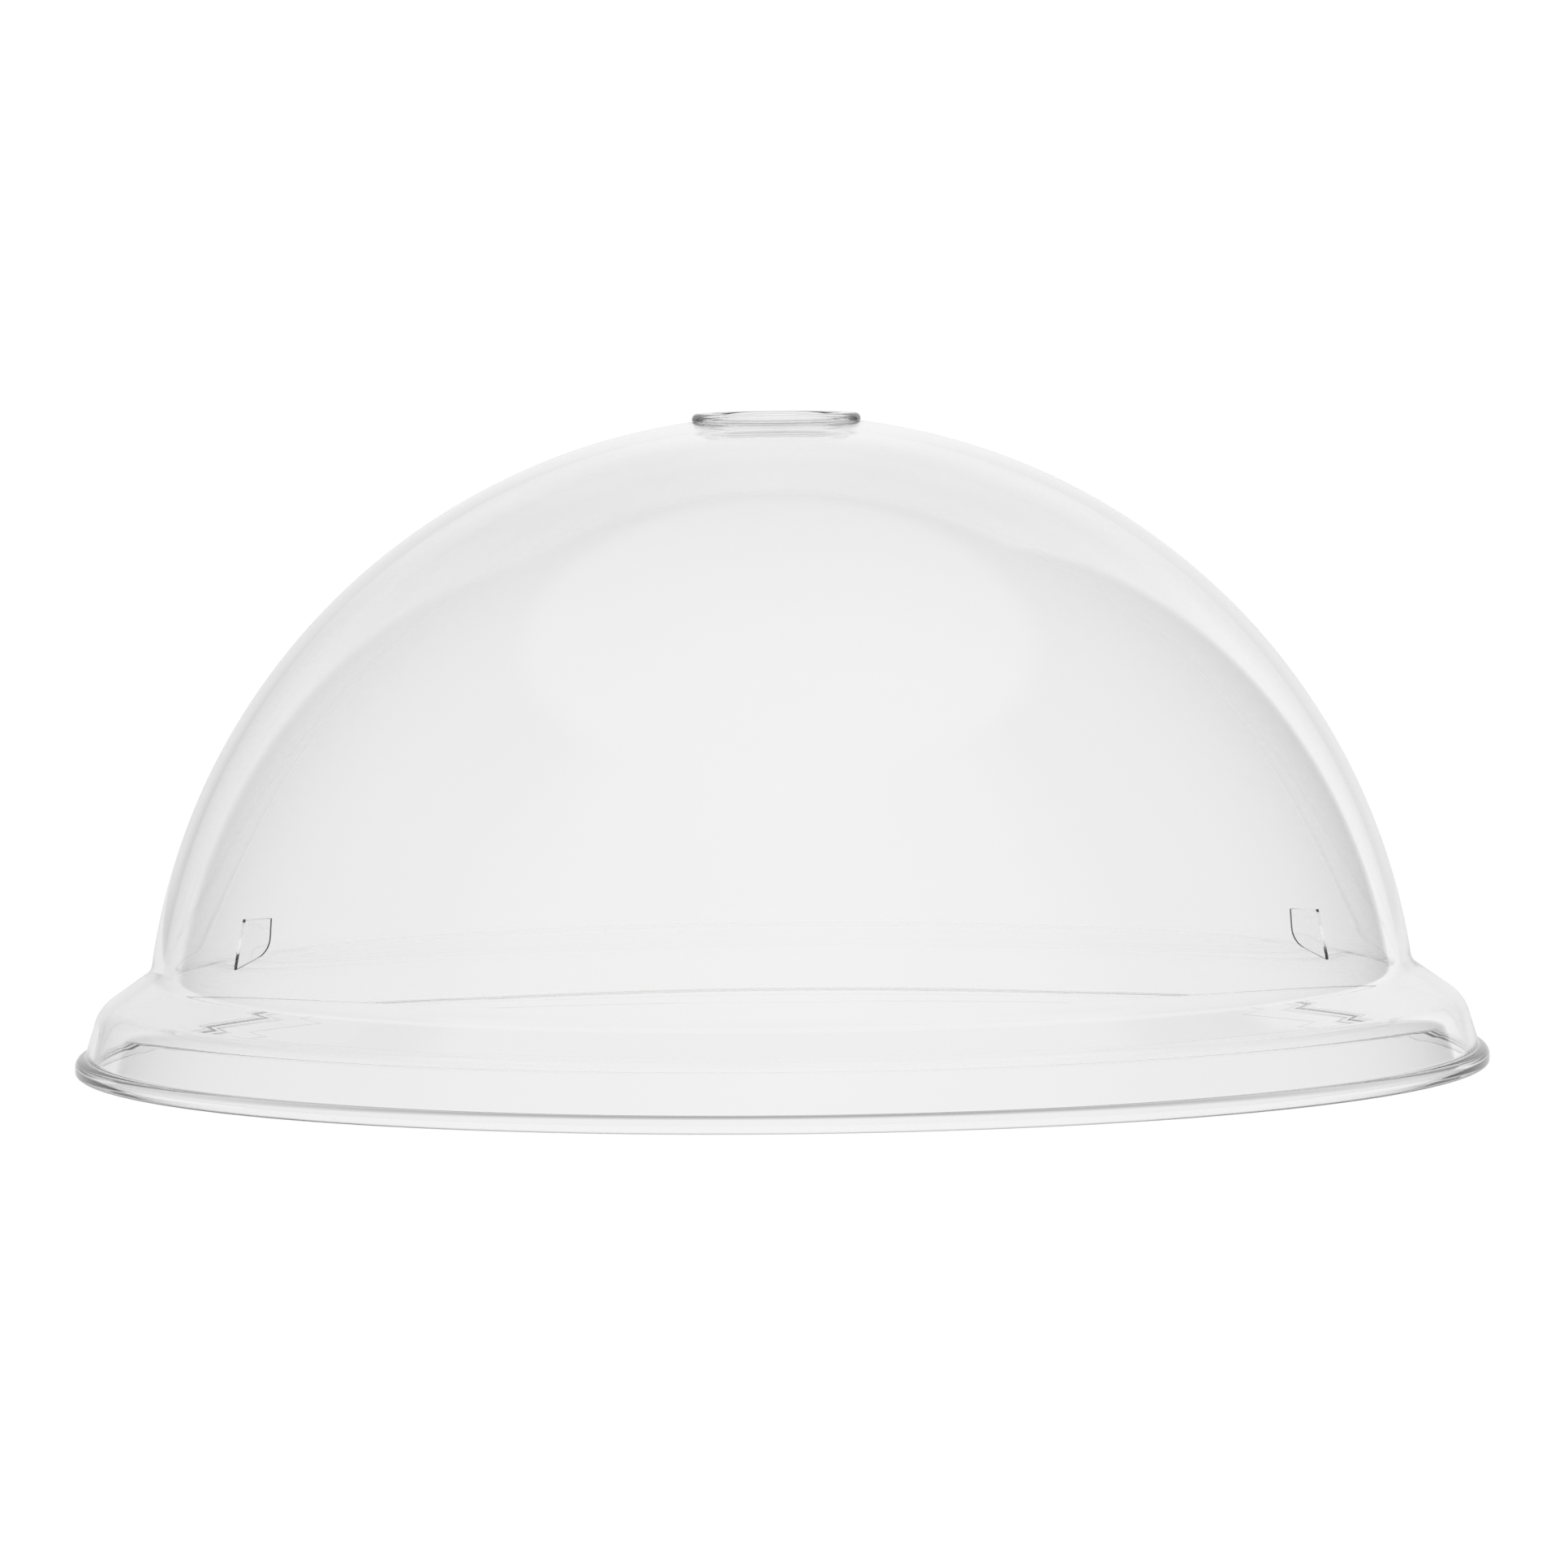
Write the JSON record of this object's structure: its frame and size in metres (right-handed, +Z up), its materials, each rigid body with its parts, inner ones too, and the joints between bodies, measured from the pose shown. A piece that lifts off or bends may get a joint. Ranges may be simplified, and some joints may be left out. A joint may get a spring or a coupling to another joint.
{
  "type": "dome cover",
  "caption": "Clear domed cover with a stepped base, a rolled rim, thin inner locating ribs and a lift-out vent plug in the crown.",
  "frame": {"origin": "centre of the rim's flat foot, on the surface that the cover stands on", "axes": "+Z up along the dome's axis, -Y towards the side of the wall that carries the two ribs"},
  "size_m": [0.3, 0.3, 0.1382],
  "materials": {
    "clear_cover": "clear, glossy, moulded",
    "clear_plug": "clear, glossy, moulded"
  },
  "bodies": {
    "cover": {"dome_shell": "clear_cover", "base_skirt": "clear_cover", "rim_bead": "clear_cover", "locating_rib_right": "clear_cover", "locating_rib_left": "clear_cover"},
    "plug": {"vent_plug": "clear_plug"}
  },
  "joints": [
    {"name": "plug_lift", "type": "slide", "parent": "cover", "child": "plug", "axis": [0, 0, 1], "range_m": [0, 0.03]}
  ]
}
